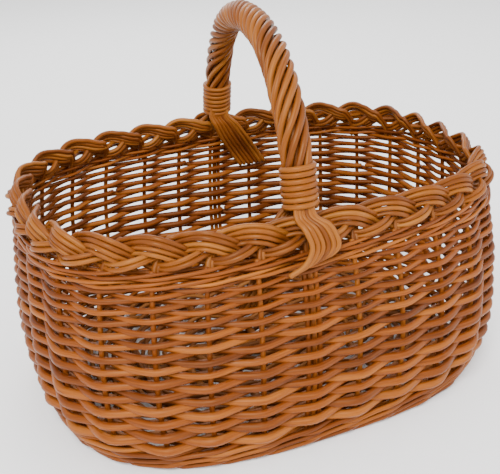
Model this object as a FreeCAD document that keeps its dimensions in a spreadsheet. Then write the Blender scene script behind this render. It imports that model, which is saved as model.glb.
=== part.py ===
import FreeCAD, Part
import bisect
import functools
import math
import os

# Woven willow market basket with a fixed bow handle, in millimetres.
# X runs along the long side, Y across it, Z up. The origin is at the middle of
# the underside, on the surface that the basket stands on. Every woven piece is
# a round rod: straight runs joined by tangent arcs.

Vector = FreeCAD.Vector

DRIVING_DIMENSIONS = {
    # the wall's oval, measured to the middle of the stakes
    "foot_half_length": 189.0,
    "foot_half_width": 143.0,
    "belly_half_length": 217.0,
    "belly_half_width": 167.0,
    "belly_height": 81.0,
    "rim_half_length": 210.0,
    "rim_half_width": 145.0,
    "rim_height": 198.0,
    "oval_squareness": 2.85,
    "rod_clearance": 0.4,
    # upright rods
    "stake_count": 30.0,
    "stake_radius": 2.4,
    "stake_bottom": 1.2,
    "stake_top": 181.5,
    # plain courses of the wall
    "course_count": 26.0,
    "lowest_course_pitch": 7.3,
    "highest_course_pitch": 3.8,
    "first_course_height": 28.4,
    "course_gap": 0.2,
    "weaver_bend_radius": 14.0,
    # three-rod wales at the foot and under the border
    "foot_wale_rod_radius": 2.1,
    "foot_wale_pitch": 9.1,
    "foot_wale_count": 3.0,
    "foot_wale_height": 4.15,
    "top_wale_rod_radius": 1.5,
    "top_wale_pitch": 6.7,
    "top_wale_count": 2.0,
    "top_wale_height": 174.2,
    # plaited border
    "strand_count": 3.0,
    "strand_radius": 4.6,
    "border_half_height": 9.5,
    "border_half_depth": 7.6,
    "border_tilt": 28.0,
    # base
    "base_height": 11.5,
    "base_half_length": 186.0,
    "base_half_width": 138.0,
    "short_stick_count": 7.0,
    "short_stick_radius": 3.7,
    "short_stick_spacing": 40.0,
    "long_stick_radius": 2.6,
    "long_stick_spacing": 6.0,
    "long_stick_fan": 24.0,
    "stick_overhang": 2.5,
    "base_round_count": 19.0,
    "base_round_pitch": 6.9,
    "base_weaver_radius": 2.3,
    # bow handle
    "bow_radius": 7.4,
    "bow_top": 335.0,
    "bow_spring_height": 162.0,
    "bow_half_span": 143.0,
    "bow_fullness": 2.35,
    "bow_neck_height": 247.0,
    "bow_tip_height": 89.0,
    "rope_rod_radius": 2.85,
    "rope_rod_count": 8.0,
    "rope_turn_length": 96.0,
    "rope_end_height": 250.5,
    # bindings and tails at the feet of the handle
    "binding_rod_radius": 2.3,
    "binding_turns": 7.0,
    "binding_height": 230.0,
    "binding_inner_radius": 10.6,
    "tail_rod_radius": 2.2,
    "tail_top_height": 209.5,
    "inner_tail_offset": 13.2,
    "outer_tail_offset": 10.5,
    "tail_spacing": 4.9,
    "inner_tail_count": 7.0,
    "outer_tail_count": 6.0,
}


class Sizes:
    """The sheet's cells, read by alias, with the counts as whole numbers."""

    def __init__(self, document):
        self.sheet = document.addObject("Spreadsheet::Sheet", "Dimensions")
        for row, (name, value) in enumerate(DRIVING_DIMENSIONS.items(), start=1):
            self.sheet.set(f"A{row}", name)
            self.sheet.set(f"B{row}", str(value))
            self.sheet.setAlias(f"B{row}", name)
        document.recompute()

    def __getattr__(self, name):
        value = float(self.sheet.get(name))
        return round(value) if name.endswith("_count") else value


# ------------------------------------------------------------- round rods

def turn_angle(before, corner, after):
    """How far a route turns at a corner, in radians."""
    return (corner - before).getAngle(after - corner)


def arc_inset(radius, angle):
    """How far an arc passes inside the corner that it rounds."""
    return radius * (1 / math.cos(angle / 2) - 1)


def rounded_route(corners, closed, bend_radius):
    """The route's straight runs and the tangent arcs that round its corners."""
    count = len(corners)
    edges = []
    last = None if closed else corners[0]
    for index in range(count) if closed else range(1, count - 1):
        before, corner, after = corners[index - 1], corners[index], corners[(index + 1) % count]
        angle = turn_angle(before, corner, after)
        run = min((corner - before).Length, (after - corner).Length)
        arc_radius = min(bend_radius, 0.45 * run / math.tan(angle / 2))
        back = (before - corner).normalize()
        ahead = (after - corner).normalize()
        start = corner + back * (arc_radius * math.tan(angle / 2))
        middle = corner + (back + ahead).normalize() * arc_inset(arc_radius, angle)
        end = corner + ahead * (arc_radius * math.tan(angle / 2))
        if last:
            edges.append(Part.LineSegment(last, start).toShape())
        else:
            first = start
        edges.append(Part.Arc(start, middle, end).toShape())
        last = end
    edges.append(Part.LineSegment(last, first if closed else corners[-1]).toShape())
    return edges


def swept_round(edges, radius, closed=False):
    """A round section swept along a route's edges."""
    start = edges[0].valueAt(edges[0].FirstParameter)
    way = edges[0].tangentAt(edges[0].FirstParameter)
    section = Part.Wire(Part.makeCircle(radius, start, way))
    swept = Part.Wire(edges).makePipeShell([section], not closed, False)
    if swept.ShapeType != "Solid":
        swept = Part.Solid(swept.Shells[0])
    if swept.Volume < 0:
        swept.reverse()
    return swept


def rod(corners, radius, closed=False, bend_radius=1e6, flat=False):
    """A round rod along a route of corners, each rounded by a tangent arc.

    A closed round that isn't flat is swept in two halves that meet end to end,
    because a section carried round it in one piece comes back turned.
    """
    edges = rounded_route(corners, closed, bend_radius)
    if not closed or flat:
        return swept_round(edges, radius, closed)
    half = len(edges) // 2
    halves = [swept_round(edges[:half], radius), swept_round(edges[half:], radius)]
    return halves[0].fuse(halves[1]).Solids[0]


# ------------------------------------------------------ the basket's outline

@functools.lru_cache(maxsize=None)
def oval_quarter(half_length, half_width, squareness):
    """Directions from the middle, and the way gone, along a quarter of an oval."""
    steps = 240
    directions = [math.pi / 2 * step / steps for step in range(steps + 1)]
    gone = [0.0]
    before = oval_at(half_length, half_width, squareness, 0.0)
    for direction in directions[1:]:
        point = oval_at(half_length, half_width, squareness, direction)
        gone.append(gone[-1] + (point - before).Length)
        before = point
    return directions, gone


def oval_at(half_length, half_width, squareness, direction):
    """Point of the superellipse |x/a|^n + |y/b|^n = 1 in a first-quarter direction."""
    x, y = math.cos(direction) / half_length, math.sin(direction) / half_width
    reach = (max(x, 0) ** squareness + max(y, 0) ** squareness) ** (-1 / squareness)
    return Vector(reach * math.cos(direction), reach * math.sin(direction), 0)


def oval_point(half_length, half_width, fraction, squareness):
    """Point and outward normal on an oval, a share of the way round.

    The share is 0 at +X, 0.25 at +Y, 0.5 at -X and 0.75 at -Y.
    """
    directions, gone = oval_quarter(half_length, half_width, squareness)
    index = int(fraction % 1.0 * 4)
    share = fraction % 1.0 * 4 - index
    wanted = gone[-1] * (1 - share if index % 2 else share)
    step = max(1, min(bisect.bisect_left(gone, wanted), len(gone) - 1))
    part_way = (wanted - gone[step - 1]) / (gone[step] - gone[step - 1])
    direction = directions[step - 1] + (directions[step] - directions[step - 1]) * part_way
    point = oval_at(half_length, half_width, squareness, direction)
    slope_x = (max(point.x, 0) / half_length) ** (squareness - 1) / half_length
    slope_y = (max(point.y, 0) / half_width) ** (squareness - 1) / half_width
    sign_x = -1 if index in (1, 2) else 1
    sign_y = -1 if index in (2, 3) else 1
    normal = Vector(sign_x * slope_x, sign_y * slope_y, 0).normalize()
    return Vector(sign_x * point.x, sign_y * point.y, 0), normal


def wall_halves(size, height):
    """Half length and half width of the wall at a height: a quarter ellipse up
    to the belly, then a gentle inward curve to the rim."""
    if height < size.belly_height:
        share = height / size.belly_height
        bulge = math.sqrt(1 - (1 - share) ** 2)
        low = size.foot_half_length, size.foot_half_width
        return [
            low[0] + (size.belly_half_length - low[0]) * bulge,
            low[1] + (size.belly_half_width - low[1]) * bulge,
        ]
    share = (height - size.belly_height) / (size.rim_height - size.belly_height)
    return [
        size.belly_half_length + (size.rim_half_length - size.belly_half_length) * share ** 2,
        size.belly_half_width + (size.rim_half_width - size.belly_half_width) * share ** 2,
    ]


def foot_stakes(size):
    """Numbers of the back and front stakes that the handle's feet stand on."""
    back = size.stake_count // 4
    return back, back + size.stake_count // 2


def wall_point(size, fraction, height, outward=0.0):
    """A point of the wall's middle surface, moved outward by a distance."""
    point, normal = oval_point(*wall_halves(size, height), fraction, size.oval_squareness)
    return point + normal * outward + Vector(0, 0, height)


def stand_off(size, fraction, height, radius):
    """How far to one side of the stakes, measured level, a rod of a radius
    clears them where the wall leans."""
    rise = wall_point(size, fraction, height + 1) - wall_point(size, fraction, height - 1)
    return (size.stake_radius + radius + size.rod_clearance) * rise.Length / rise.z


# ------------------------------------------------------------- woven pieces

def course_pitch(size, number):
    """Rise from one course to the next: the weavers get thinner towards the rim."""
    share = number / (size.course_count - 1)
    return size.lowest_course_pitch + (size.highest_course_pitch - size.lowest_course_pitch) * share


def course_height(size, number):
    return size.first_course_height + sum(course_pitch(size, below) for below in range(number))


def course_radius(size, number):
    return (course_pitch(size, number) - size.course_gap) / 2


def course(size, number):
    """One closed round of the wall's plain weave: outside one stake and inside
    the next, the other way about in the round above."""
    radius = course_radius(size, number)
    height = course_height(size, number)
    count = size.stake_count
    sides = [1 if (stake + number) % 2 else -1 for stake in range(count)]
    clear = [
        stand_off(size, stake / count, height, radius) for stake in range(count)
    ]
    offsets = clear
    for _ in range(3):
        corners = [
            wall_point(size, stake / count, height, sides[stake] * offsets[stake])
            for stake in range(count)
        ]
        # each corner stands off by what its arc cuts inside it
        offsets = [
            clear[stake]
            + arc_inset(
                size.weaver_bend_radius,
                turn_angle(corners[stake - 1], corners[stake], corners[(stake + 1) % count]),
            )
            for stake in range(count)
        ]
    return rod(corners, radius, closed=True, bend_radius=size.weaver_bend_radius, flat=True)


def wale(size, height, radius):
    """One round of three rods, each outside two stakes and inside the third,
    rising over the rod ahead of it on the outside."""
    step = radius + size.rod_clearance * 0.75
    # sideways share and rise at each half stake of the three-stake stroke
    stroke = [(1, -step), (1, 0), (1, step), (0, step), (-1.08, 0), (0, -step)]
    halves = 2 * size.stake_count
    rods = []
    for lead in range(3):
        corners = []
        for half in range(halves):
            share, rise = stroke[(half + 2 * lead) % 6]
            fraction = half / 2 / size.stake_count
            outward = share * stand_off(size, fraction, height, radius)
            corners.append(wall_point(size, fraction, height + rise, outward))
        bend = size.weaver_bend_radius
        rods.append(rod(corners, radius, closed=True, bend_radius=bend))
    return rods


def foot_wale_heights(size):
    """Heights of the foot wales, stepped along the wall's outward lean."""
    heights = [size.foot_wale_height]
    while len(heights) < size.foot_wale_count:
        low = heights[-1]
        high = low + size.foot_wale_pitch
        lean = wall_halves(size, high)[0] - wall_halves(size, low)[0]
        heights.append(low + size.foot_wale_pitch ** 2 / math.hypot(size.foot_wale_pitch, lean))
    return heights


def stakes(size):
    """The upright rods, following the wall from the floor to the border. The
    two at the handle stop where the bow's legs take their place."""
    first_rises = (1.5, 4.5, 9.0, 15.0, 22.0, 30.0, 40.0, 52.0)
    handles = foot_stakes(size)
    rods = []
    for stake in range(size.stake_count):
        fraction = stake / size.stake_count
        top = size.bow_tip_height - 2 if stake in handles else size.stake_top
        heights = [size.stake_bottom + rise for rise in first_rises]
        spans = math.ceil((top - heights[-1]) / 20)
        start = heights[-1]
        heights += [start + (top - start) * span / spans for span in range(1, spans + 1)]
        corners = [wall_point(size, fraction, height) for height in heights]
        rods.append(rod(corners, size.stake_radius))
    return rods


def border_section(size, phase):
    """How far out and up from the rim a strand is at a phase of its plait. The
    flat plait leans inwards, so that its face looks out and up."""
    face = -size.border_half_depth * math.sin(2 * phase)
    width = size.border_half_height * math.sin(phase)
    lean = math.radians(size.border_tilt)
    return (
        face * math.cos(lean) - width * math.sin(lean),
        face * math.sin(lean) + width * math.cos(lean),
    )


def border_strand(size, lead):
    """One of the border's three plaited strands, a closed round that rises and
    falls once in three stakes and goes in and out twice."""
    steps = 12
    total = steps * size.stake_count // 3
    corners = []
    for step in range(total):
        phase = 2 * math.pi * (step / steps + lead / size.strand_count)
        point, normal = oval_point(
            size.rim_half_length, size.rim_half_width, step / total, size.oval_squareness
        )
        depth, rise = border_section(size, phase)
        corners.append(point + normal * depth + Vector(0, 0, size.rim_height + rise))
    return rod(corners, size.strand_radius, closed=True)


# -------------------------------------------------------------------- base

def base_rounds(size):
    """Closed rounds of the base, over one stick and under the next."""
    rounds = []
    for number in range(size.base_round_count):
        inset = number * size.base_round_pitch
        halves = size.base_half_length - inset, size.base_half_width - inset
        crossings = stick_crossings(size, *halves)
        lift = size.short_stick_radius + size.base_weaver_radius + size.rod_clearance
        corners = []
        for place, fraction in enumerate(crossings):
            side = 1 if (place + number) % 2 else -1
            point, _ = oval_point(*halves, fraction, size.oval_squareness)
            corners.append(point + Vector(0, 0, size.base_height + side * lift))
        rounds.append(rod(corners, size.base_weaver_radius, closed=True))
    return rounds


def share_where(halves, size, reached):
    """Share of the first quarter of a base oval up to which a test holds."""
    low, high = 0.0, 0.25
    for _ in range(40):
        middle = (low + high) / 2
        point, _ = oval_point(*halves, middle, size.oval_squareness)
        low, high = (middle, high) if reached(point) else (low, middle)
    return low


def fan_start(size):
    """Where along the base the long sticks begin to fan out."""
    return (size.short_stick_count - 1) / 2 * size.short_stick_spacing + 8


def stick_crossings(size, half_length, half_width):
    """Shares of the way round at which a base round meets the sticks. Rounds
    inside the fan pass the bunched long sticks as one."""
    halves = half_length, half_width
    quarter = []
    if half_length > fan_start(size) + 22:
        for stick in (1, 2):
            slope = math.tan(math.radians(stick * size.long_stick_fan))
            side = stick * size.long_stick_spacing
            quarter.append(
                share_where(
                    halves, size,
                    lambda point: point.y < side + (point.x - fan_start(size)) * slope,
                )
            )
    for stick in range(size.short_stick_count // 2, 0, -1):
        x = stick * size.short_stick_spacing
        if x < half_length - 3 * size.short_stick_radius:
            quarter.append(share_where(halves, size, lambda point: point.x > x))
    mirrored = [0.5 - share for share in reversed(quarter)]
    half = [0.0] + quarter + [0.25] + mirrored
    return half + [0.5 + share for share in half]


def long_stick(size, place):
    """A rod along the base, straight through the short sticks and then fanned."""
    halves = size.base_half_length + size.stick_overhang, size.base_half_width + size.stick_overhang
    side = abs(place) * size.long_stick_spacing
    slope = math.tan(math.radians(abs(place) * size.long_stick_fan))
    start = fan_start(size)
    share = share_where(
        halves, size, lambda point: point.y < side + (point.x - start) * slope
    )
    tip, _ = oval_point(*halves, share, size.oval_squareness)
    if place == 0:
        right = [Vector(halves[0], 0, 0)]
    else:
        right = [Vector(start, side, 0), Vector(tip.x, tip.y, 0)]
    left = [Vector(-corner.x, corner.y, 0) for corner in reversed(right)]
    mirror = -1 if place < 0 else 1
    corners = [Vector(c.x, mirror * c.y, size.base_height) for c in left + right]
    return rod(corners, size.long_stick_radius, bend_radius=60)


def lying_cylinder(document, name, radius, length, centre, axis):
    """A Part cylinder of a radius from the sheet, lying about its centre."""
    cylinder = document.addObject("Part::Cylinder", name)
    cylinder.setExpression("Radius", f"Dimensions.{radius}")
    cylinder.Height = length
    cylinder.Placement = FreeCAD.Placement(
        centre - axis * (length / 2), FreeCAD.Rotation(Vector(0, 0, 1), axis)
    )
    return cylinder


def base_sticks(document, size):
    """Short sticks across the base, pierced by the long sticks."""
    places = range(-2, 3)
    long_group = add_rods(document, "base_long_sticks", [long_stick(size, n) for n in places])
    bores, blanks = [], []
    for place in places:
        centre = Vector(0, place * size.long_stick_spacing, size.base_height)
        bore = lying_cylinder(
            document, f"stick_bore_{place + 3}", "long_stick_radius + 0.1",
            2 * fan_start(size), centre, Vector(1, 0, 0),
        )
        bores.append(bore)
    first = -(size.short_stick_count - 1) / 2
    halves = size.base_half_length, size.base_half_width
    for stick in range(size.short_stick_count):
        x = (first + stick) * size.short_stick_spacing
        share = share_where(halves, size, lambda point: point.x > abs(x))
        edge, _ = oval_point(*halves, share, size.oval_squareness)
        blanks.append(
            lying_cylinder(
                document, f"short_stick_{stick + 1}", "short_stick_radius",
                2 * (edge.y + size.stick_overhang), Vector(x, 0, size.base_height),
                Vector(0, 1, 0),
            )
        )
    blank_group = document.addObject("Part::Compound", "short_stick_blanks")
    blank_group.Links = blanks
    bore_group = document.addObject("Part::MultiFuse", "stick_bores")
    bore_group.Shapes = bores
    pierced = document.addObject("Part::Cut", "base_short_sticks")
    pierced.Base = blank_group
    pierced.Tool = bore_group
    return [long_group, pierced]


# ------------------------------------------------------------------ handle

def bow_point(size, height):
    """Distance from the middle at which the bow's centre line is at a height."""
    share = (height - size.bow_spring_height) / (size.bow_top - size.bow_spring_height)
    power = size.bow_fullness
    return size.bow_half_span * max(0.0, 1 - share ** power) ** (1 / power)


def bow_line(size, low, count):
    """Points and in-plane normals along the bow, evenly spaced from a height on
    the front leg over the top to the same height on the back leg."""
    fine = []
    start = math.asin(((low - size.bow_spring_height) / (size.bow_top - size.bow_spring_height))
                      ** (size.bow_fullness / 2))
    for step in range(2001):
        angle = start + (math.pi - 2 * start) * step / 2000
        along = -math.cos(angle)
        y = math.copysign(abs(along) ** (2 / size.bow_fullness), along) * size.bow_half_span
        rise = math.sin(angle) ** (2 / size.bow_fullness)
        z = size.bow_spring_height + (size.bow_top - size.bow_spring_height) * rise
        fine.append(Vector(0, y, z))
    lengths = [0.0]
    for before, after in zip(fine, fine[1:]):
        lengths.append(lengths[-1] + (after - before).Length)
    points, normals = [], []
    index = 1
    for place in range(count):
        wanted = lengths[-1] * place / (count - 1)
        while index < 2000 and lengths[index] < wanted:
            index += 1
        way = (fine[index] - fine[index - 1]).normalize()
        share = (wanted - lengths[index - 1]) / (lengths[index] - lengths[index - 1])
        points.append(fine[index - 1] + (fine[index] - fine[index - 1]) * share)
        normals.append(Vector(0, -way.z, way.y))
    return points, normals, lengths[-1]


def bow_turn(size):
    """The bow is built over the Y axis and then turned about Z on to its feet."""
    foot, _ = oval_point(
        size.rim_half_length, size.rim_half_width,
        foot_stakes(size)[0] / size.stake_count, size.oval_squareness,
    )
    return FreeCAD.Rotation(Vector(0, 0, 1), -math.degrees(math.atan2(foot.x, foot.y)))


def bow_leg_route(size, side):
    """The bow's slender leg, from its neck down through the border and between
    the weavers of the wall, where it stands in for a stake."""
    turn = bow_turn(size)
    corners = [
        turn.multVec(Vector(0, side * bow_point(size, height), height))
        for height in (size.bow_neck_height, size.rim_height + 16)
    ]
    fraction = foot_stakes(size)[0 if side > 0 else 1] / size.stake_count
    spans = 4
    drop = size.stake_top - size.bow_tip_height
    for span in range(spans + 1):
        corners.append(wall_point(size, fraction, size.stake_top - drop * span / spans))
    return corners


def handle_bow(document, size):
    """The bow: a thick rod over the top, a taper at each neck and two slender
    legs. Each taper is a little thinner than the arch that it is let into, and
    a little thicker than its leg."""
    turn = bow_turn(size)
    points = [turn.multVec(point) for point in bow_line(size, size.bow_neck_height, 33)[0]]
    arch = document.addObject("Part::Feature", "bow_arch")
    arch.Shape = rod(points, size.bow_radius)
    pieces = [arch]
    let_in = 2.0
    for side, name in ((-1, "front"), (1, "back")):
        route = bow_leg_route(size, side)
        leg = document.addObject("Part::Feature", f"bow_leg_{name}")
        leg.Shape = rod(route, size.stake_radius)
        way = (route[1] - route[0]).normalize()
        neck = document.addObject("Part::Cone", f"bow_neck_{name}")
        neck.setExpression("Radius1", "Dimensions.bow_radius - 0.6")
        neck.setExpression("Radius2", "Dimensions.stake_radius + 0.6")
        neck.Height = (route[1] - route[0]).Length + let_in
        neck.Placement = FreeCAD.Placement(
            route[0] - way * let_in, FreeCAD.Rotation(Vector(0, 0, 1), way)
        )
        pieces += [leg, neck]
    bow = document.addObject("Part::MultiFuse", "handle_bow")
    bow.Shapes = pieces
    return bow


def handle_rope(size):
    """Rods wound round the bow, side by side, from one foot to the other."""
    per_turn = 8
    turn = bow_turn(size)
    _, _, length = bow_line(size, size.rope_end_height, 2)
    count = round(length / size.rope_turn_length * per_turn) + 1
    points, normals, _ = bow_line(size, size.rope_end_height, count)
    radius = (size.bow_radius + size.rope_rod_radius + size.rod_clearance) / math.cos(math.pi / per_turn)
    rods = []
    for strand in range(size.rope_rod_count):
        corners = []
        for place in range(count):
            angle = 2 * math.pi * (place / per_turn + strand / size.rope_rod_count)
            sideways = Vector(1, 0, 0) * math.cos(angle) - normals[place] * math.sin(angle)
            corners.append(turn.multVec(points[place] + sideways * radius))
        rods.append(rod(corners, size.rope_rod_radius))
    return rods


def binding(size, side):
    """A rod wound seven times round the rope just above the border."""
    per_turn = 12
    pitch = 2 * size.binding_rod_radius + 0.2
    radius = (size.binding_inner_radius + size.binding_rod_radius) / math.cos(math.pi / per_turn)
    middle = Vector(0, side * bow_point(size, size.binding_height), size.binding_height)
    above = size.binding_height + 1
    way = (Vector(0, side * bow_point(size, above), above) - middle).normalize()
    across = Vector(1, 0, 0)
    inward = way.cross(across)
    total = round(size.binding_turns * per_turn)
    corners = []
    for step in range(total + 1):
        angle = 2 * math.pi * step / per_turn
        along = (step / total - 0.5) * size.binding_turns * pitch
        sideways = across * math.cos(angle) + inward * math.sin(angle)
        corners.append(bow_turn(size).multVec(middle + way * along + sideways * radius))
    return rod(corners, size.binding_rod_radius)


def tails(size, side, inner):
    """Ends of the rope rods below a binding. The inner ones slant down inside
    the wall, and the outer ones go over the border and turn back under it.

    They are laid out at the back foot, and a half turn takes them to the front.
    """
    count = size.inner_tail_count if inner else size.outer_tail_count
    reach = max(border_section(size, math.radians(degree))[0] for degree in range(360))
    border = reach + size.strand_radius + size.tail_rod_radius + 0.6
    top_weaver = course_radius(size, size.course_count - 1)
    wall = size.stake_radius + 2 * top_weaver + size.tail_rod_radius + 1.2
    start = bow_point(size, size.tail_top_height)
    turn = bow_turn(size)
    fraction = foot_stakes(size)[0] / size.stake_count
    rods = []
    for number in range(count):
        across = (number - (count - 1) / 2) * size.tail_spacing
        # along the border, outward and up from the foot
        if inner:
            top = turn.multVec(Vector(across * 0.6, start - size.inner_tail_offset, size.tail_top_height))
            places = [
                (across * 0.8 + 4, -border, size.rim_height + 4),
                (across + 14, -border, size.rim_height - 12),
                (across + 30, -wall, size.rim_height - 35),
                (across + 42, -wall, size.rim_height - 53),
            ]
        else:
            top = turn.multVec(Vector(across * 0.6, start + size.outer_tail_offset, size.tail_top_height))
            places = [
                (across * 0.9 - 5, border, size.rim_height + 6),
                (across - 8, border, size.rim_height - 10),
                (across - 2, wall, size.rim_height - 21),
                (across + 8, wall, size.rim_height - 30),
            ]
        corners = [top]
        for along, outward, height in places:
            foot = wall_point(size, fraction, height, outward)
            corners.append(foot + Vector(along, 0, 0))
        corners = [Vector(side * corner.x, side * corner.y, corner.z) for corner in corners]
        rods.append(rod(corners, size.tail_rod_radius))
    return rods


# --------------------------------------------------------------- the model

def add_rods(document, name, solids):
    """One named sub-part that holds one rod or a group of separate rods."""
    feature = document.addObject("Part::Feature", name)
    feature.Shape = solids[0] if len(solids) == 1 else Part.makeCompound(solids)
    feature.Placement = FreeCAD.Placement()
    return feature


def bored_strand(document, size, lead):
    """A border strand with the two channels that the bow's legs run through."""
    name = f"border_strand_{lead + 1}"
    blank = add_rods(document, f"{name}_blank", [border_strand(size, lead)])
    channels = [
        rod(bow_leg_route(size, side), size.stake_radius + size.rod_clearance)
        for side in (-1, 1)
    ]
    channel = add_rods(document, f"{name}_channels", channels)
    strand = document.addObject("Part::Cut", name)
    strand.Base = blank
    strand.Tool = channel
    return strand


def flattened(solids):
    """Rods worn flat where they stand on the floor."""
    below_floor = Part.makeBox(1000, 1000, 10, Vector(-500, -500, -10))
    return [solid.cut(below_floor) for solid in solids]


def build(document):
    """Make every sub-part and return them in order, from the base upwards."""
    size = Sizes(document)
    parts = base_sticks(document, size)
    parts.append(add_rods(document, "base_rounds", base_rounds(size)))
    for number, height in enumerate(foot_wale_heights(size), start=1):
        rods = wale(size, height, size.foot_wale_rod_radius)
        if number == 1:
            rods = flattened(rods)
        parts.append(add_rods(document, f"foot_wale_{number}", rods))
    parts.append(add_rods(document, "side_stakes", stakes(size)))
    for number in range(size.course_count):
        parts.append(add_rods(document, f"side_course_{number + 1:02}", [course(size, number)]))
    for number in range(size.top_wale_count):
        height = size.top_wale_height + number * size.top_wale_pitch
        rods = wale(size, height, size.top_wale_rod_radius)
        parts.append(add_rods(document, f"top_wale_{number + 1}", rods))
    for lead in range(size.strand_count):
        parts.append(bored_strand(document, size, lead))
    parts.append(handle_bow(document, size))
    parts.append(add_rods(document, "handle_rope", handle_rope(size)))
    for side, name in ((-1, "front"), (1, "back")):
        parts.append(add_rods(document, f"binding_{name}", [binding(size, side)]))
        parts.append(add_rods(document, f"inner_tails_{name}", tails(size, side, True)))
        parts.append(add_rods(document, f"outer_tails_{name}", tails(size, side, False)))
    return parts


def export(document, parts):
    """Check every object and write each sub-part to its own STEP file."""
    document.recompute()
    for item in document.Objects:
        if "Invalid" in item.State or "Error" in item.State:
            raise RuntimeError(f"{item.Name} failed to compute")
    for part in parts:
        if part.Shape.isNull() or not part.Shape.isValid():
            raise RuntimeError(f"{part.Name} has no valid shape")
    os.makedirs("parts", exist_ok=True)
    for part in parts:
        part.Label = part.Name
        part.Shape.exportStep(f"parts/{part.Label}.step")
        box = part.Shape.optimalBoundingBox(False)
        print(
            f"{part.Label}: {len(part.Shape.Solids)} solids, {part.Shape.Volume / 1000:.1f} cm3,"
            f" x {box.XMin:.1f}..{box.XMax:.1f}, y {box.YMin:.1f}..{box.YMax:.1f},"
            f" z {box.ZMin:.1f}..{box.ZMax:.1f}"
        )


document = FreeCAD.newDocument("market_basket")
export(document, build(document))
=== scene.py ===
"""Looks of a woven willow market basket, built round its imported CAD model.

Lengths below are in millimetres; meshes are made in metres. Every piece is made
of tapered willow rods and replaces one CAD node.
"""
import math

import bpy
import numpy as np
from mathutils import Matrix, Vector


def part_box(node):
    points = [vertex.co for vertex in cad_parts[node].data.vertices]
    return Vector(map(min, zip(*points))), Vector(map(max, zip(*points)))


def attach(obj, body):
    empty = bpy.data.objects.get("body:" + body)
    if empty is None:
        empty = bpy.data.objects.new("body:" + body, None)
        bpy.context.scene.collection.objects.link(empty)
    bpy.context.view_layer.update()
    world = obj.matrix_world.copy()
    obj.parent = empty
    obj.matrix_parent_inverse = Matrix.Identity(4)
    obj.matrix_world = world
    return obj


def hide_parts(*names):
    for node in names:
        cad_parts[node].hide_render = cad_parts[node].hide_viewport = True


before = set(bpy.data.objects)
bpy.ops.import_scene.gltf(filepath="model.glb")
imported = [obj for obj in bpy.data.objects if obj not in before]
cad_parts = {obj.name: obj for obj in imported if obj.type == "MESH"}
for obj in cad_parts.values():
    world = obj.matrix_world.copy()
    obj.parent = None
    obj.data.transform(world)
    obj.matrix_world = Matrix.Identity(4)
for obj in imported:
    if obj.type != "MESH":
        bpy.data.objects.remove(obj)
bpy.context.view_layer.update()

random = np.random.default_rng(11)

STAKES = 30
# numbers of the stakes that the handle's feet stand on
BACK_FOOT, FRONT_FOOT = 7, 22
# exponent of the oval; 2 is an ellipse
SQUARENESS = 2.85
# half length and half width of the stakes' oval
FOOT, BELLY, RIM = (189.0, 143.0), (217.0, 167.0), (210.0, 145.0)
BELLY_HEIGHT, RIM_HEIGHT = 81.0, 198.0
STAKE_RADIUS, LINER_RADIUS = 2.4, 2.05
FOOT_WALES, FOOT_WALE_RADIUS = 3, 2.1
TOP_WALES, TOP_WALE_RADIUS = 2, 1.5
COURSES = 26


def span(node):
    """Lowest and highest corner of a CAD node, in millimetres."""
    low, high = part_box(node)
    return np.array(low) * 1000, np.array(high) * 1000


# ------------------------------------------------------------ the wall's form

def wall_halves(height):
    """Half length and half width of the wall at a height."""
    if height < BELLY_HEIGHT:
        bulge = math.sqrt(max(0.0, 1 - (1 - max(height, 0.0) / BELLY_HEIGHT) ** 2))
        return [low + (high - low) * bulge for low, high in zip(FOOT, BELLY)]
    share = (height - BELLY_HEIGHT) / (RIM_HEIGHT - BELLY_HEIGHT)
    return [low + (high - low) * share ** 2 for low, high in zip(BELLY, RIM)]


def oval(half_length, half_width, fractions):
    """Points and outward normals of a superellipse at shares of the way round."""
    around = np.linspace(0, 2 * np.pi, 1441)
    x, y = np.cos(around) / half_length, np.sin(around) / half_width
    reach = (np.abs(x) ** SQUARENESS + np.abs(y) ** SQUARENESS) ** (-1 / SQUARENESS)
    points = np.stack([reach * np.cos(around), reach * np.sin(around)], 1)
    steps = np.linalg.norm(np.diff(points, axis=0), axis=1)
    gone = np.concatenate([[0], np.cumsum(steps)])
    wanted = np.mod(fractions, 1.0) * gone[-1]
    found = np.stack([np.interp(wanted, gone, points[:, axis]) for axis in (0, 1)], -1)
    halves = np.array([half_length, half_width])
    slope = np.sign(found) * np.abs(found / halves) ** (SQUARENESS - 1) / halves
    return found, slope / np.linalg.norm(slope, axis=-1, keepdims=True)


# ovals of the wall at even heights and shares, to look points up in
TABLE_HEIGHTS = np.linspace(0, 240, 121)
TABLE_SHARES = np.linspace(0, 1, 601)
TABLE = np.array([
    np.concatenate(oval(*wall_halves(height), TABLE_SHARES[:-1] + 1e-9), axis=1)
    for height in TABLE_HEIGHTS
])
TABLE = np.concatenate([TABLE, TABLE[:, :1]], axis=1)


def wall(fractions, heights, outward=0.0):
    """Points of the wall's middle surface, moved outward by distances."""
    fractions, heights, outward = np.broadcast_arrays(
        np.asarray(fractions, float), np.asarray(heights, float), np.asarray(outward, float)
    )
    column = np.mod(fractions, 1.0) * (len(TABLE_SHARES) - 1)
    row = np.clip(heights / TABLE_HEIGHTS[1], 0, len(TABLE_HEIGHTS) - 1.001)
    c, r = column.astype(int), row.astype(int)
    c = np.minimum(c, len(TABLE_SHARES) - 2)
    part_c, part_r = (column - c)[..., None], (row - r)[..., None]
    low = TABLE[r, c] * (1 - part_c) + TABLE[r, c + 1] * part_c
    high = TABLE[r + 1, c] * (1 - part_c) + TABLE[r + 1, c + 1] * part_c
    found = low * (1 - part_r) + high * part_r
    flat = found[..., :2] + found[..., 2:] * outward[..., None]
    return np.concatenate([flat, heights[..., None]], axis=-1)


def lean(fractions, heights):
    """How much longer the wall's slope is than its rise."""
    rise = wall(fractions, np.asarray(heights) + 1.0) - wall(fractions, np.asarray(heights) - 1.0)
    return np.linalg.norm(rise, axis=-1) / rise[..., 2]


# ------------------------------------------------------------- curves and rods

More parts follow.
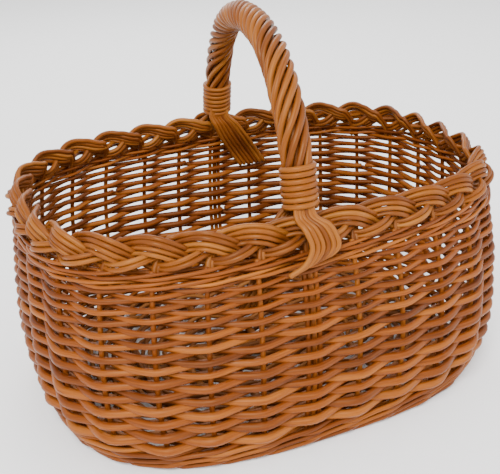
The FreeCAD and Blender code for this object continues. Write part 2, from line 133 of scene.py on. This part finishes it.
def smooth(points, per_span):
    """A Catmull-Rom curve through points."""
    points = np.asarray(points, float)
    ends = [2 * points[:1] - points[1:2], points, 2 * points[-1:] - points[-2:-1]]
    p = np.concatenate(ends)
    t = np.linspace(0, 1, per_span, endpoint=False)[:, None, None]
    a, b, c, d = p[:-3], p[1:-2], p[2:-1], p[3:]
    curve = 0.5 * (
        2 * b + (c - a) * t + (2 * a - 5 * b + 4 * c - d) * t ** 2
        + (3 * b - a - 3 * c + d) * t ** 3
    )
    curve = curve.transpose(1, 0, 2).reshape(-1, points.shape[1])
    return np.concatenate([curve, points[-1:]])


def wander(count, every, size):
    """Smooth random drift along a rod, about zero."""
    knots = random.normal(0, size, max(4, int(count / every) + 3))
    return np.interp(np.linspace(0, len(knots) - 1, count), np.arange(len(knots)), knots)


# the rounding of a rod's ends, as shares of its radius
TIP_LENGTH, TIP_WIDTH = 0.35, 0.72


class Piece:
    """One object made of willow rods, which replaces one CAD node or more."""

    def __init__(self):
        self.points, self.faces, self.grain, self.tone = [], [], [], []
        self.count = 0

    def rod(self, path, radius, sides=8, tone=None):
        """A round rod with rounded ends along a path, of one radius or many."""
        path = np.asarray(path, float)
        radius = np.broadcast_to(np.asarray(radius, float), (len(path),)).copy()
        way = np.gradient(path, axis=0)
        way /= np.linalg.norm(way, axis=1, keepdims=True)
        gone = np.concatenate([[0], np.cumsum(np.linalg.norm(np.diff(path, axis=0), axis=1))])
        # rings at both ends round the rod off
        first = path[0] - way[0] * radius[0] * TIP_LENGTH
        last = path[-1] + way[-1] * radius[-1] * TIP_LENGTH
        path = np.concatenate([[first], path, [last]])
        way = np.concatenate([way[:1], way, way[-1:]])
        radius = np.concatenate([radius[:1] * TIP_WIDTH, radius, radius[-1:] * TIP_WIDTH])
        gone = np.concatenate([[gone[0]], gone, [gone[-1]]])
        # any direction that no rod starts along
        side = np.cross(way[0], (0.31, 0.17, 0.93))
        frames = []
        for direction in way:
            side = side - direction * side.dot(direction)
            side /= math.sqrt(side.dot(side))
            frames.append(side)
        side = np.array(frames)
        up = np.cross(way, side)
        angle = np.linspace(0, 2 * np.pi, sides, endpoint=False)
        ring = side[:, None] * np.cos(angle)[:, None] + up[:, None] * np.sin(angle)[:, None]
        points = path[:, None] + ring * radius[:, None, None]
        rings = len(path)
        start = self.count
        index = start + np.arange(rings * sides).reshape(rings, sides)
        after = np.roll(index, -1, axis=1)
        quads = np.stack([index[:-1], after[:-1], after[1:], index[1:]], -1).reshape(-1, 4)
        self.faces += quads.tolist()
        self.faces.append(index[0, ::-1].tolist())
        self.faces.append(index[-1].tolist())
        self.points.append(points.reshape(-1, 3))
        offset = random.random() * 5
        grain = np.empty((rings, sides, 3))
        grain[..., 0] = gone[:, None] / 1000 + offset
        grain[..., 1] = np.cos(angle)
        grain[..., 2] = np.sin(angle)
        self.grain.append(grain.reshape(-1, 3))
        tone = random.random() if tone is None else tone
        self.tone.append(np.full(rings * sides, tone))
        self.count += rings * sides

    def make(self, name, material, slot, *nodes):
        mesh = bpy.data.meshes.new(name)
        points = np.concatenate(self.points) / 1000
        mesh.from_pydata(points.tolist(), [], self.faces)
        mesh.polygons.foreach_set("use_smooth", np.ones(len(mesh.polygons), bool))
        grain = mesh.attributes.new("grain", "FLOAT_VECTOR", "POINT")
        grain.data.foreach_set("vector", np.concatenate(self.grain).astype(np.float32).ravel())
        tone = mesh.attributes.new("tone", "FLOAT", "POINT")
        tone.data.foreach_set("value", np.concatenate(self.tone).astype(np.float32))
        mesh.update()
        piece = bpy.data.objects.new(name, mesh)
        bpy.context.scene.collection.objects.link(piece)
        mesh.materials.append(material)
        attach(piece, "root")
        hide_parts(*nodes)
        return piece


# ---------------------------------------------------------------- materials

def willow(name, dark, middle, light, roughness):
    """Peeled willow: long streaks, a change of tone along each rod, small
    scars where leaves grew, and a satin skin."""
    material = bpy.data.materials.new(name)
    material.use_nodes = True
    tree = material.node_tree
    nodes, links = tree.nodes, tree.links
    shader = nodes["Principled BSDF"]

    def node(kind, **values):
        made = nodes.new(kind)
        for key, value in values.items():
            setattr(made, key, value)
        return made

    def maths(operation, first, second):
        made = node("ShaderNodeMath", operation=operation)
        for socket, value in zip(made.inputs, (first, second)):
            if isinstance(value, (int, float)):
                socket.default_value = value
            else:
                links.new(value, socket)
        return made.outputs[0]

    tone = node("ShaderNodeAttribute", attribute_name="tone").outputs["Fac"]
    grain = node("ShaderNodeAttribute", attribute_name="grain").outputs["Vector"]

    def noise(scale, detail):
        stretched = node("ShaderNodeVectorMath", operation="MULTIPLY")
        links.new(grain, stretched.inputs[0])
        stretched.inputs[1].default_value = scale
        made = node("ShaderNodeTexNoise", noise_dimensions="4D")
        links.new(stretched.outputs[0], made.inputs["Vector"])
        links.new(maths("MULTIPLY", tone, 37.0), made.inputs["W"])
        made.inputs["Scale"].default_value = 1.0
        made.inputs["Detail"].default_value = detail
        return made.outputs["Fac"]

    streaks = noise((30.0, 2.6, 2.6), 3.0)
    blotches = noise((9.0, 0.5, 0.5), 2.0)
    fine = noise((160.0, 6.0, 6.0), 2.0)

    scarred = node("ShaderNodeVectorMath", operation="MULTIPLY")
    links.new(grain, scarred.inputs[0])
    scarred.inputs[1].default_value = (17.0, 0.55, 0.55)
    cells = node("ShaderNodeTexVoronoi", voronoi_dimensions="4D")
    links.new(scarred.outputs[0], cells.inputs["Vector"])
    links.new(maths("MULTIPLY", tone, 19.0), cells.inputs["W"])
    cells.inputs["Scale"].default_value = 1.0
    scar = node("ShaderNodeMapRange")
    links.new(cells.outputs["Distance"], scar.inputs["Value"])
    scar.inputs["From Min"].default_value = 0.1
    scar.inputs["From Max"].default_value = 0.17
    scar.inputs["To Min"].default_value = 1.0
    scar.inputs["To Max"].default_value = 0.0

    # tone of the rod, drift along it and streaks, about a half
    mixed = maths("MULTIPLY", maths("SUBTRACT", blotches, 0.5), 0.9)
    mixed = maths("ADD", mixed, maths("MULTIPLY", maths("SUBTRACT", streaks, 0.5), 0.9))
    mixed = maths("ADD", mixed, maths("MULTIPLY", maths("SUBTRACT", fine, 0.5), 0.35))
    mixed = maths("ADD", mixed, maths("MULTIPLY", tone, 0.62))
    mixed = maths("ADD", mixed, 0.19)
    mixed = maths("SUBTRACT", mixed, maths("MULTIPLY", scar.outputs[0], 0.5))
    ramp = node("ShaderNodeValToRGB")
    ramp.color_ramp.elements[0].position = 0.0
    ramp.color_ramp.elements[0].color = (*dark, 1)
    ramp.color_ramp.elements[1].position = 1.0
    ramp.color_ramp.elements[1].color = (*light, 1)
    ramp.color_ramp.elements.new(0.5).color = (*middle, 1)
    links.new(mixed, ramp.inputs["Fac"])
    links.new(ramp.outputs["Color"], shader.inputs["Base Color"])

    rough = node("ShaderNodeMapRange")
    links.new(streaks, rough.inputs["Value"])
    rough.inputs["From Min"].default_value = 0.3
    rough.inputs["From Max"].default_value = 0.7
    rough.inputs["To Min"].default_value = roughness - 0.07
    rough.inputs["To Max"].default_value = roughness + 0.1
    links.new(rough.outputs[0], shader.inputs["Roughness"])

    height = maths("ADD", streaks, maths("MULTIPLY", fine, 0.5))
    height = maths("ADD", height, maths("MULTIPLY", scar.outputs[0], 0.9))
    bump = node("ShaderNodeBump")
    bump.inputs["Strength"].default_value = 0.55
    bump.inputs["Distance"].default_value = 0.0004
    links.new(height, bump.inputs["Height"])
    links.new(bump.outputs["Normal"], shader.inputs["Normal"])
    shader.inputs["Specular IOR Level"].default_value = 0.33
    shader.inputs["Specular Tint"].default_value = (1.0, 0.72, 0.42, 1)
    return material


wall_willow = willow(
    "wall_willow_rods", (0.072, 0.0135, 0.0018), (0.182, 0.041, 0.0040), (0.305, 0.093, 0.0130), 0.45
)
border_willow = willow(
    "border_willow_rods", (0.080, 0.0165, 0.0022), (0.178, 0.047, 0.0055), (0.275, 0.096, 0.0150), 0.42
)
handle_willow = willow(
    "handle_willow_rods", (0.080, 0.0165, 0.0022), (0.178, 0.047, 0.0055), (0.275, 0.096, 0.0155), 0.42
)
base_willow = willow(
    "base_willow_rods", (0.065, 0.016, 0.004), (0.155, 0.045, 0.009), (0.26, 0.095, 0.023), 0.5
)


# ---------------------------------------------------------- camera and studio

def photo_camera():
    """The camera, with the basket at the photograph's angle."""
    azimuth, elevation, roll = (math.radians(a) for a in (-22.856, 24.519, -1.752))
    # metres from the middle of the basket, then millimetres of lens
    middle_height, distance = 0.135, 0.80163
    lens, sensor = 60.156, 36.0
    back = Vector((
        math.sin(azimuth) * math.cos(elevation),
        -math.cos(azimuth) * math.cos(elevation),
        math.sin(elevation),
    ))
    right = Vector((0, 0, 1)).cross(back).normalized()
    up = back.cross(right)
    turned_right = right * math.cos(roll) + up * math.sin(roll)
    turned_up = up * math.cos(roll) - right * math.sin(roll)
    data = bpy.data.cameras.new("photo_camera")
    data.sensor_width = sensor
    data.lens = lens
    # shares of the frame's width
    data.shift_x, data.shift_y = -0.0091, -0.0144
    data.clip_start, data.clip_end = 0.01, 50
    camera = bpy.data.objects.new("photo_camera", data)
    bpy.context.scene.collection.objects.link(camera)
    rotation = Matrix((turned_right, turned_up, back)).transposed()
    place = Vector((0, 0, middle_height)) + back * distance
    camera.matrix_world = Matrix.Translation(place) @ rotation.to_4x4()
    bpy.context.scene.camera = camera


def area_light(name, place, target, size, power):
    data = bpy.data.lights.new(name, "AREA")
    data.shape = "DISK"
    data.size = size
    data.energy = power
    light = bpy.data.objects.new(name, data)
    bpy.context.scene.collection.objects.link(light)
    light.location = place
    light.rotation_euler = (Vector(target) - Vector(place)).to_track_quat("-Z", "Y").to_euler()


def studio():
    """A pale floor, an even white sky and three soft lights."""
    mesh = bpy.data.meshes.new("studio_floor")
    reach = 6.0
    mesh.from_pydata(
        [(-reach, -reach, 0), (reach, -reach, 0), (reach, reach, 0), (-reach, reach, 0)],
        [], [(0, 1, 2, 3)],
    )
    floor = bpy.data.objects.new("studio_floor", mesh)
    bpy.context.scene.collection.objects.link(floor)
    paper = bpy.data.materials.new("studio_paper")
    paper.use_nodes = True
    shader = paper.node_tree.nodes["Principled BSDF"]
    shader.inputs["Base Color"].default_value = (0.96, 0.96, 0.96, 1)
    shader.inputs["Roughness"].default_value = 0.9
    mesh.materials.append(paper)
    world = bpy.data.worlds.new("studio_world")
    world.use_nodes = True
    world.node_tree.nodes["Background"].inputs["Color"].default_value = (1, 1, 1, 1)
    world.node_tree.nodes["Background"].inputs["Strength"].default_value = 1.4
    bpy.context.scene.world = world
    middle = (0, 0, 0.15)
    area_light("key_light", (-0.9, -1.3, 1.7), middle, 1.0, 70)
    area_light("fill_light", (1.6, -0.9, 1.0), middle, 1.2, 16)
    area_light("back_light", (0.4, 1.6, 1.5), middle, 1.2, 24)


# ------------------------------------------------------------------ the wall

course_spans = [span(f"side_course_{number + 1:02}") for number in range(COURSES)]
course_middles = np.array([(low[2] + high[2]) / 2 for low, high in course_spans])
course_radii = np.array([(high[2] - low[2]) / 2 for low, high in course_spans])
stake_drift = random.normal(0, 0.018, STAKES)
stake_tilt = random.normal(0, 0.02, STAKES)


def stake_share(place, height):
    """Share of the way round at a place counted in stakes, with the small
    irregularity of the stakes' spacing."""
    place = np.asarray(place, float)
    knots = np.arange(STAKES + 1)
    drift = np.append(stake_drift, stake_drift[0])
    tilt = np.append(stake_tilt, stake_tilt[0])
    turned = np.mod(place, STAKES)
    shift = np.interp(turned, knots, drift)
    shift = shift + np.interp(turned, knots, tilt) * (np.asarray(height) / 100 - 1)
    return (place + shift) / STAKES


def build_courses():
    """Each course is one tapered rod, thick at its butt, once round the wall.
    Rods above settle on the thick and thin stretches below."""
    per_stake = 8
    # how much thicker a butt is and a tip thinner than the course's middle
    butt, loss = 1.09, 0.18
    # rods are fuller than their courses, and pressed on to the stakes
    fullness, pressed = 1.12, 0.7
    # strokes climb a little to the right on the outside
    climb = 0.9
    grid = np.arange(STAKES * per_stake + 1) / per_stake
    starts = [(number * 7 + 3) % STAKES for number in range(COURSES)]
    starts = [start + (start + number) % 2 for number, start in enumerate(starts)]
    thickness = []
    for number, start in enumerate(starts):
        along = np.mod(grid - start, STAKES) / STAKES
        taper = butt - loss * along
        uneven = wander(len(grid), 2.5 * per_stake, 0.035)
        uneven[-1] = uneven[0]
        thickness.append(2 * course_radii[number] * (taper + uneven))
    thickness = np.array(thickness)
    bottom = course_middles[0] - course_radii[0]
    total = course_middles[-1] + course_radii[-1] - bottom
    gap = (total - 2 * course_radii.sum()) / COURSES
    steps = thickness + gap
    steps *= total / steps.sum(axis=0)
    heights = bottom + np.cumsum(steps, axis=0) - steps / 2
    for number, start in enumerate(starts):
        place = start - 0.15 + np.arange(int((STAKES - 0.1) * per_stake) + 1) / per_stake
        turned = np.mod(place, STAKES)
        height = np.interp(turned, grid, heights[number])
        radius = np.interp(turned, grid, thickness[number]) / 2 * fullness
        beat = np.pi * (place + number + 1)
        swing = np.cos(beat) + 0.07 * np.cos(3 * beat)
        share = stake_share(place, height)
        reach = (STAKE_RADIUS + radius - pressed) * lean(share, height)
        reach = reach * (1 + wander(len(place), per_stake, 0.045))
        height = height + climb * np.sin(beat)
        height = height + wander(len(place), 1.5 * per_stake, 0.16)
        path = wall(share, height, swing * reach + wander(len(place), per_stake, 0.2))
        piece = Piece()
        piece.rod(path, radius, sides=8)
        name = f"side_course_{number + 1:02}"
        piece.make(f"willow_{name}", wall_willow, "wall_willow", name)


def build_stakes():
    """The upright rods, with a liner rod at each side of the handle's feet."""
    piece = Piece()
    top = span("side_stakes")[1][2] + 1
    heights = np.concatenate([np.linspace(1.6, 30, 10), np.linspace(38, top, 18)])
    first_liner, liner_place = 6, 0.118
    for stake in range(STAKES):
        share = stake_share(stake, heights)
        radius = STAKE_RADIUS * np.linspace(1.04, 0.9, len(heights))
        piece.rod(wall(share, heights), radius, sides=8)
    for foot in (BACK_FOOT, FRONT_FOOT):
        for beside in (-1, 1):
            share = stake_share(foot + beside * liner_place, heights[first_liner:])
            piece.rod(wall(share, heights[first_liner:]), LINER_RADIUS, sides=8)
    piece.make("willow_side_stakes", wall_willow, "wall_willow", "side_stakes")


def build_wale(node, slot_name):
    """A round of three rods, each outside two stakes and inside the third."""
    radius = FOOT_WALE_RADIUS if node.startswith("foot") else TOP_WALE_RADIUS
    step = radius + 0.3
    height = span(node)[1][2] - step - radius
    # sideways share and rise at each half stake of the three-stake stroke
    stroke = [(1, -step), (1, 0), (1, step), (0, step), (-1.08, 0), (0, -step)]
    piece = Piece()
    for lead in range(3):
        halves = np.arange(2 * STAKES + 1)
        sideways = np.array([stroke[(half + 2 * lead) % 6][0] for half in halves])
        rise = np.array([stroke[(half + 2 * lead) % 6][1] for half in halves])
        share = stake_share(halves / 2, height)
        slope = lean(share, np.full(len(halves), height))
        reach = (STAKE_RADIUS + radius + 0.35) * slope
        reach = reach * (1 + random.normal(0, 0.03, len(halves)))
        rise = rise + random.normal(0, 0.12, len(halves))
        controls = np.stack([share, height + rise, sideways * reach], 1)
        curve = smooth(controls, 4)
        path = wall(curve[:, 0], curve[:, 1], curve[:, 2])
        thick = radius * (1.07 + wander(len(path), 14, 0.05))
        path[:, 2] = np.maximum(path[:, 2], thick * 0.97)
        piece.rod(path, thick, sides=7)
    piece.make(f"willow_{node}", wall_willow, slot_name, node)


# ---------------------------------------------------------------- the border

# how far the plait leans inward, and how far apart its rods lie
BORDER_TILT = math.radians(28)
LANE = 4.15
BORDER_DROP = 1.8


def build_border():
    """A plait of paired stake ends. From each stake two rods rise, go over the
    top, under and round the bottom, over the top again, and end in the gap."""
    # the plait's half height, the drop of its middle, and its half depth
    half, sink, depth = 8.6, 2.1, 6.6
    step, last_place, spacing = 0.06, 4.8, 41.0
    root_heights = RIM_HEIGHT - np.array([27.0, 19.0, 13.0])
    pieces = [Piece() for _ in range(3)]
    for stake in range(STAKES):
        for rod in range(2):
            place = np.arange(0.02, last_place + random.normal(0, 0.03), step)
            phase = math.pi / 2 + 2 * math.pi * (place - 0.75) / 3
            # lanes count from the plait's lower edge upward
            turns = phase / math.pi
            first = 1.5 - rod
            lower = 0.5 - rod
            second = -0.5 - rod
            lane = np.interp(
                turns, [0, 1.05, 1.45, 2.0, 2.4, 3.2],
                [first, first, lower, lower, second, second],
            )
            width = half * np.sin(phase) - sink
            face = -depth * np.sin(2 * phase)
            share = (stake + place) / STAKES
            rise_rate = np.gradient(width, place) / spacing
            run = 1 / np.sqrt(1 + rise_rate ** 2)
            width = width + lane * LANE * run
            along = -lane * LANE * rise_rate * run / spacing
            # the outer lanes lie a little lower, so that a bunch is rounded
            face = face + np.where(face > 0, -0.35, 0.35) * (lane ** 2)
            width = width + wander(len(place), 8, 0.25)
            face = face + wander(len(place), 8, 0.25)
            outward = face * math.cos(BORDER_TILT) - width * math.sin(BORDER_TILT)
            height = face * math.sin(BORDER_TILT) + width * math.cos(BORDER_TILT)
            height = RIM_HEIGHT - BORDER_DROP + height
            path = wall(share + along / STAKES, height * 0 + RIM_HEIGHT, outward)
            path[:, 2] = height
            # the rod comes up out of the wall beside its stake
            root_share = (stake + 0.05 + 0.08 * rod) / STAKES
            root = wall(root_share, root_heights, np.array([0.5, -0.5, -2.0]))
            path = smooth(np.concatenate([root, path[4:]])[::2], 2)
            radius = np.interp(np.linspace(0, 1, len(path)), [0, 0.5, 1], [2.3, 2.2, 1.9])
            radius = radius * (1 + random.normal(0, 0.04))
            pieces[(stake + 1) % 3].rod(path, radius, sides=8)
    for number, piece in enumerate(pieces, start=1):
        piece.make(
            f"willow_border_strand_{number}", border_willow, "border_willow",
            f"border_strand_{number}",
        )


# ------------------------------------------------------------------ the base

def build_base():
    """Short sticks across, long sticks through them that fan out at the ends,
    and a weave of rounds over one stick and under the next."""
    low, high = span("base_short_sticks")
    middle = (low[2] + high[2]) / 2
    short_radius, long_radius, weaver_radius = 3.7, 2.6, 2.3
    half_length, half_width = 186.0, 138.0
    spacing, fan_from, fan_angle = 40.0, 128.0, 24
    rounds_count, round_pitch = 19, 6.9

    def share_where(halves, test):
        """Share of the first quarter up to which a test holds."""
        shares = np.linspace(0, 0.25, 1500)
        points, _ = oval(*halves, shares)
        return shares[np.argmax(~test(points))] if (~test(points)).any() else 0.25

    sticks = Piece()
    for stick in range(-3, 4):
        x = stick * spacing
        share = share_where((half_length, half_width), lambda p: p[:, 0] > abs(x))
        edge = oval(half_length, half_width, share)[0]
        ys = np.linspace(-edge[1] - 2.5, edge[1] + 2.5, 25)
        path = np.stack([np.full(25, x) + wander(25, 8, 0.3), ys, np.full(25, middle)], 1)
        sticks.rod(path, short_radius, sides=9)
    sticks.make("willow_base_short_sticks", base_willow, "base_willow", "base_short_sticks")

    sticks = Piece()
    for place in range(-2, 3):
        side = abs(place) * 6.0
        rise = math.tan(math.radians(fan_angle * abs(place)))
        halves = (half_length + 2.5, half_width + 2.5)
        share = share_where(halves, lambda p: p[:, 1] < side + (p[:, 0] - fan_from) * rise)
        tip = oval(*halves, share)[0] if place else np.array([halves[0], 0.0])
        right = [(fan_from - 8, side), (fan_from + 4, side + rise * 1.5), (tip[0], tip[1])]
        left = [(-x, y) for x, y in reversed(right)]
        flat = left + [(0, side)] + right
        way = np.array([(x, math.copysign(y, place), middle) for x, y in flat])
        sticks.rod(smooth(way, 8), long_radius, sides=8)
    sticks.make("willow_base_long_sticks", base_willow, "base_willow", "base_long_sticks")

    rounds = Piece()
    for number in range(rounds_count):
        inset = number * round_pitch
        halves = (half_length - inset, half_width - inset)
        quarter = []
        if halves[0] > fan_from + 22:
            for stick in (1, 2):
                rise = math.tan(math.radians(fan_angle * stick))
                quarter.append(share_where(
                    halves, lambda p: p[:, 1] < stick * 6.0 + (p[:, 0] - fan_from) * rise))
        for stick in (3, 2, 1):
            if stick * spacing < halves[0] - 3 * short_radius:
                quarter.append(share_where(halves, lambda p: p[:, 0] > stick * spacing))
        half_round = [0.0] + quarter + [0.25] + [0.5 - share for share in reversed(quarter)]
        crossings = half_round + [0.5 + share for share in half_round] + [1.0]
        sides = np.array([1 if (i + number) % 2 else -1 for i in range(len(crossings))])
        lift = short_radius + weaver_radius + 0.2
        controls = np.stack([np.array(crossings), sides * lift], 1)
        # halfway points keep the curve from overshooting
        between = (controls[1:] + controls[:-1]) / 2
        order = np.empty((len(controls) + len(between), 2))
        order[::2], order[1::2] = controls, between
        curve = smooth(order, 4)
        flat, _ = oval(*halves, curve[:, 0])
        path = np.concatenate([flat, middle + curve[:, 1:]], axis=1)
        thick = weaver_radius * (1.03 + wander(len(path), 30, 0.05))
        rounds.rod(path, thick, sides=7)
    rounds.make("willow_base_rounds", base_willow, "base_willow", "base_rounds")


# ---------------------------------------------------------------- the handle

BOW_SPRING, BOW_TOP, BOW_HALF_SPAN, BOW_FULLNESS = 162.0, 335.0, 143.0, 2.35
foot_point = oval(*RIM, BACK_FOOT / STAKES)[0]
BOW_TURN = -math.atan2(foot_point[0], foot_point[1])


def turned(points):
    """Points laid out over the Y axis, turned on to the handle's feet."""
    points = np.asarray(points, float)
    cos, sin = math.cos(BOW_TURN), math.sin(BOW_TURN)
    x, y = points[..., 0], points[..., 1]
    return np.stack([x * cos - y * sin, x * sin + y * cos, points[..., 2]], -1)


def bow_line(low, count):
    """Even points, ways and inward normals along the bow, front to back."""
    start = math.asin(((low - BOW_SPRING) / (BOW_TOP - BOW_SPRING)) ** (BOW_FULLNESS / 2))
    angle = np.linspace(start, math.pi - start, 4001)
    along = -np.cos(angle)
    y = np.sign(along) * np.abs(along) ** (2 / BOW_FULLNESS) * BOW_HALF_SPAN
    z = BOW_SPRING + (BOW_TOP - BOW_SPRING) * np.sin(angle) ** (2 / BOW_FULLNESS)
    line = np.stack([np.zeros_like(y), y, z], 1)
    gone = np.concatenate([[0], np.cumsum(np.linalg.norm(np.diff(line, axis=0), axis=1))])
    wanted = np.linspace(0, gone[-1], count)
    points = np.stack([np.interp(wanted, gone, line[:, axis]) for axis in range(3)], 1)
    way = np.gradient(points, axis=0)
    way /= np.linalg.norm(way, axis=1, keepdims=True)
    normal = np.stack([np.zeros(count), -way[:, 2], way[:, 1]], 1)
    return points, way, normal, wanted


def bow_point(height):
    share = (height - BOW_SPRING) / (BOW_TOP - BOW_SPRING)
    return BOW_HALF_SPAN * max(0.0, 1 - share ** BOW_FULLNESS) ** (1 / BOW_FULLNESS)


def build_bow():
    """The bow's thick arch and the slender legs that go down into the wall."""
    path = turned(bow_line(214.0, 120)[0])
    ends = []
    for foot in (FRONT_FOOT, BACK_FOOT):
        ends.append(wall(foot / STAKES, np.linspace(89, 181, 9)))
    path = np.concatenate([ends[0], path, ends[1][::-1]])
    from_end = np.minimum(np.arange(len(path)), len(path) - 1 - np.arange(len(path)))
    radius = np.interp(from_end, [0, 8, 14, 24], [2.3, 2.4, 4.5, 7.3])
    piece = Piece()
    piece.rod(path, radius, sides=12, tone=0.2)
    piece.make("willow_handle_bow", handle_willow, "handle_willow", "handle_bow")


def build_rope():
    """Rods wound round the bow, steeply at the feet and tightly over the top."""
    count, rods, rod_radius = 260, 8, 2.75
    points, _, normal, gone = bow_line(235.0, count)
    middle = gone[-1] / 2
    from_top = np.abs(gone - middle) / middle
    angle = np.radians(np.interp(from_top, [0, 0.45, 0.8, 1.0], [38, 36, 29, 16]))
    radius = np.interp(from_top, [0, 0.86, 0.94, 1.0], [10.3, 10.3, 9.6, 8.6])
    twist = np.concatenate([[0], np.cumsum(np.diff(gone) * (np.tan(angle) / radius)[1:])])
    twist -= twist[count // 2]
    piece = Piece()
    for number in range(rods):
        wobble = wander(count, 18, 0.035)
        turn = twist + 2 * np.pi * number / rods + wobble
        reach = radius + wander(count, 18, 0.15)
        across = np.array([1.0, 0, 0])
        offset = across * np.cos(turn)[:, None] - normal * np.sin(turn)[:, None]
        path = turned(points + offset * reach[:, None])
        thick = rod_radius * (1 + wander(count, 40, 0.04))
        piece.rod(path, thick, sides=9)
    piece.make("willow_handle_rope", handle_willow, "handle_willow", "handle_rope")


def build_binding(side, name):
    """A rod wound seven times round the handle's foot."""
    height, wound_radius, rod_radius = 230.0, 12.6, 2.35
    low = np.array([0, side * bow_point(height - 1), height - 1])
    high = np.array([0, side * bow_point(height + 1), height + 1])
    way = (high - low) / np.linalg.norm(high - low)
    middle = (low + high) / 2
    across = np.array([1.0, 0, 0])
    inward = np.cross(way, across)
    per_turn, turns, pitch = 24, 7, 4.75
    steps = np.arange(per_turn * turns + 1)
    angle = 2 * np.pi * steps / per_turn
    along = (steps / steps[-1] - 0.5) * turns * pitch + wander(len(steps), 9, 0.12)
    reach = wound_radius + wander(len(steps), 12, 0.12)
    offset = across * np.cos(angle)[:, None] + inward * np.sin(angle)[:, None]
    path = turned(middle + way * along[:, None] + offset * reach[:, None])
    piece = Piece()
    piece.rod(path, rod_radius, sides=9, tone=0.6)
    node = f"binding_{name}"
    piece.make(f"willow_{node}", handle_willow, "handle_willow", node)


def build_tails(side, name, inner):
    """Ends of the rope's rods below a binding, laid out at the back foot. The
    inner ones slant down inside, and the outer ones turn back on the border."""
    count = 7 if inner else 6
    spacing, rod_radius = 4.7, 2.25
    share = BACK_FOOT / STAKES
    piece = Piece()

    def on_bow(along, height, reach):
        outward = bow_point(height) + (-reach if inner else reach)
        return turned(np.array([along, outward, height]))

    for number in range(count):
        across = (number - (count - 1) / 2) * spacing
        route = [
            on_bow(across * 0.42, 235, 8.0),
            on_bow(across * 0.5, 223, 9.0),
            on_bow(across * 0.62, 211, 12.0),
        ]
        # along the border, outward and up from the foot
        if inner:
            places = [
                (across * 0.8 + 4, -17.0, RIM_HEIGHT + 4),
                (across * 0.95 + 14, -17.0, RIM_HEIGHT - 12),
                (across + 30, -10.5, RIM_HEIGHT - 35),
                (across + 42, -10.0, RIM_HEIGHT - 53),
            ]
        else:
            places = [
                (across * 0.9 - 5, 17.6, RIM_HEIGHT + 6),
                (across * 0.95 - 9, 17.6, RIM_HEIGHT - 7),
                (across - 3, 14.5, RIM_HEIGHT - 17 - 0.2 * across),
                (across + 8, 9.5, RIM_HEIGHT - 23 - 0.35 * across),
            ]
        for along, outward, height in places:
            point = wall(share, height, outward)
            route.append(point + np.array([along, 0, 0]))
        route = np.array(route)
        route[:, :2] *= side
        path = smooth(route, 7)
        piece.rod(path, rod_radius * (1 + random.normal(0, 0.04)), sides=8)
    node = f"{'inner' if inner else 'outer'}_tails_{name}"
    piece.make(f"willow_{node}", handle_willow, "handle_willow", node)


photo_camera()
studio()
build_courses()
build_stakes()
for number in range(FOOT_WALES):
    build_wale(f"foot_wale_{number + 1}", "wall_willow")
for number in range(TOP_WALES):
    build_wale(f"top_wale_{number + 1}", "wall_willow")
build_border()
build_base()
build_bow()
build_rope()
for side, name in ((-1, "front"), (1, "back")):
    build_binding(side, name)
    build_tails(side, name, True)
    build_tails(side, name, False)

bpy.context.view_layer.update()
